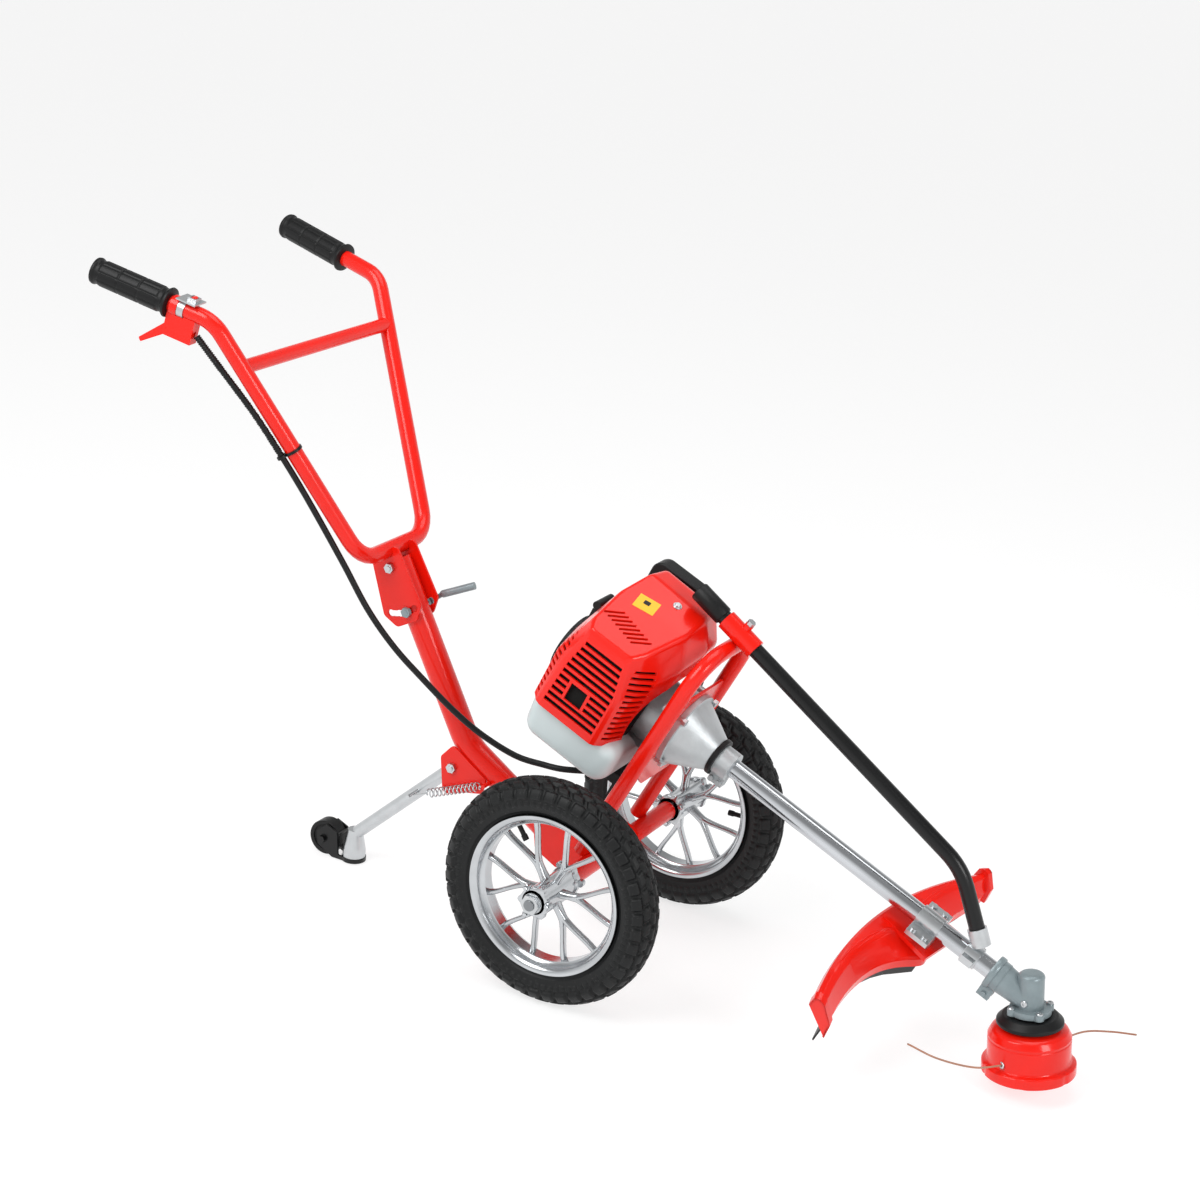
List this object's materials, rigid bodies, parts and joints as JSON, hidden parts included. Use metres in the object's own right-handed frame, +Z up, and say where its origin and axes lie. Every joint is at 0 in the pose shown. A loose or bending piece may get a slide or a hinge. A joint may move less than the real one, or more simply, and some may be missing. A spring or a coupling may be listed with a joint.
{
  "type": "brush mower",
  "caption": "Hand-pushed wheeled brush mower: pneumatic wheels, tail caster, tilting handle, hooped two-stroke engine and a line head with guard on a long drive tube.",
  "frame": {"origin": "centre of the bounding box in plan, on the ground", "axes": "+X ahead to the cutting head, +Y to the operator's left, +Z up"},
  "size_m": [1.4912, 0.492, 0.8772],
  "materials": {
    "red_paint": "bright red powder coat on steel",
    "red_cover": "glossy red moulded plastic",
    "black_paint": "satin black paint on steel",
    "zinc": "zinc-plated steel",
    "steel": "machined steel",
    "alu_rim": "polished cast aluminium",
    "alu_tube": "bright drawn aluminium",
    "alu_cast": "grey cast aluminium",
    "tyre": "black rubber",
    "rubber": "black rubber",
    "black_plastic": "matt black plastic",
    "tank": "translucent white polyethylene"
  },
  "bodies": {
    "frame": {"post": "red_paint", "axle_gussets": "red_paint", "axle_tube": "red_paint", "axle_rod": "steel", "stand_bracket": "red_paint", "engine_hoop": "red_paint", "mount_plate": "red_paint", "shield_sleeve": "red_paint", "frame_bolts": "zinc", "stand_spring": "zinc", "throttle_cable": "rubber", "crankcase": "alu_cast", "cylinder": "alu_cast", "piston": "alu_cast", "spark_plug": "zinc", "muffler": "steel", "engine_cover": "red_cover", "fuel_tank": "tank", "tank_stand": "black_plastic", "recoil_starter": "black_plastic", "starter_grip": "black_plastic", "carburettor": "alu_cast", "air_filter": "black_plastic", "clutch_housing": "alu_cast", "damper_ring": "rubber", "shaft_clamp": "alu_cast", "drive_tube": "alu_tube", "gear_case": "alu_cast", "guard": "red_cover", "guard_flap": "rubber", "guard_clamp": "zinc", "strut_tube": "black_paint", "strut_clamp": "zinc"},
    "stand": {"stand_leg": "zinc"},
    "caster": {"caster_fork": "black_paint"},
    "caster_roll": {"caster_wheel": "black_plastic"},
    "lock": {"lock_lever": "zinc"},
    "handle": {"handle_tube": "red_paint", "handle_crossbar": "red_paint", "handle_plates": "red_paint", "grip_left": "rubber", "grip_right": "rubber", "switch_mount": "zinc", "throttle_bracket": "red_paint", "cable_tie": "black_plastic"},
    "trigger": {"throttle_lever": "red_cover"},
    "switch": {"switch_rocker": "red_cover"},
    "wheel_left": {"wheel_rim_left": "alu_rim", "tyre_left": "tyre", "wheel_bearings_left": "steel", "valve_left": "rubber"},
    "wheel_right": {"wheel_rim_right": "alu_rim", "tyre_right": "tyre", "wheel_bearings_right": "steel", "valve_right": "rubber"},
    "crank": {"crankshaft": "steel"},
    "cap": {"fuel_cap": "black_plastic"},
    "drive": {"drive_shaft": "steel"},
    "cutter": {"line_head": "red_cover"},
    "knob": {"bump_knob": "red_cover"}
  },
  "joints": [
    {"name": "wheel_spin_left", "type": "hinge", "parent": "frame", "child": "wheel_left", "pos_m": [0.01504, 0.188, 0.1585], "axis": [0, 1, 0], "continuous": true},
    {"name": "wheel_spin_right", "type": "hinge", "parent": "frame", "child": "wheel_right", "pos_m": [0.01504, -0.188, 0.1585], "axis": [0, 1, 0], "continuous": true},
    {"name": "stand_fold", "type": "hinge", "parent": "frame", "child": "stand", "pos_m": [-0.24796, 0, 0.204], "axis": [0, 1, 0], "range_deg": [0, 80], "stiffness_Nm_per_rad": 2, "springref_deg": -85.94, "deforming": ["stand_spring"]},
    {"name": "caster_swivel", "type": "hinge", "parent": "stand", "child": "caster", "pos_m": [-0.41795, 0, 0.02], "axis": [0, 0, 1], "continuous": true},
    {"name": "caster_spin", "type": "hinge", "parent": "caster", "child": "caster_roll", "pos_m": [-0.46396, 0, 0.026], "axis": [0, 1, 0], "continuous": true},
    {"name": "handle_tilt", "type": "hinge", "parent": "frame", "child": "handle", "pos_m": [-0.36995, 0, 0.473], "axis": [0, -1, 0], "range_deg": [-12, 24], "deforming": ["throttle_cable"]},
    {"name": "lock_turn", "type": "hinge", "parent": "frame", "child": "lock", "pos_m": [-0.33786, 0, 0.41533], "axis": [0, 1, 0], "range_deg": [0, 75]},
    {"name": "throttle_squeeze", "type": "hinge", "parent": "handle", "child": "trigger", "pos_m": [-0.62666, -0.20362, 0.80123], "axis": [-0.1281, 0.9918, 0], "range_deg": [0, 25], "stiffness_Nm_per_rad": 0.4, "springref_deg": -17.19},
    {"name": "switch_rock", "type": "hinge", "parent": "handle", "child": "switch", "pos_m": [-0.58925, -0.19879, 0.84405], "axis": [0.1281, -0.9918, 0], "range_deg": [-12, 12]},
    {"name": "crank_spin", "type": "hinge", "parent": "frame", "child": "crank", "pos_m": [0.01504, 0, 0.3848], "axis": [0.9171, 0, -0.3987], "continuous": true},
    {"name": "fuel_cap_turn", "type": "hinge", "parent": "frame", "child": "cap", "pos_m": [-0.05744, 0.076, 0.38361], "axis": [0.3987, 0, 0.9171], "range_deg": [-180, 0]},
    {"name": "head_spin", "type": "hinge", "parent": "frame", "child": "cutter", "pos_m": [0.62269, 0, 0.12059], "axis": [0.1132, 0, -0.9936], "continuous": true},
    {"name": "drive_spin", "type": "hinge", "parent": "frame", "child": "drive", "pos_m": [0.29016, 0, 0.26518], "axis": [0.9171, 0, -0.3987], "continuous": true},
    {"name": "knob_bump", "type": "slide", "parent": "cutter", "child": "knob", "axis": [-0.1132, 0, 0.9936], "range_m": [0, 0.006], "stiffness_N_per_m": 10000, "springref_m": -0.006}
  ],
  "couplings": [
    {"joint": "drive_spin", "follows": "head_spin", "ratio": -1.2667}
  ]
}
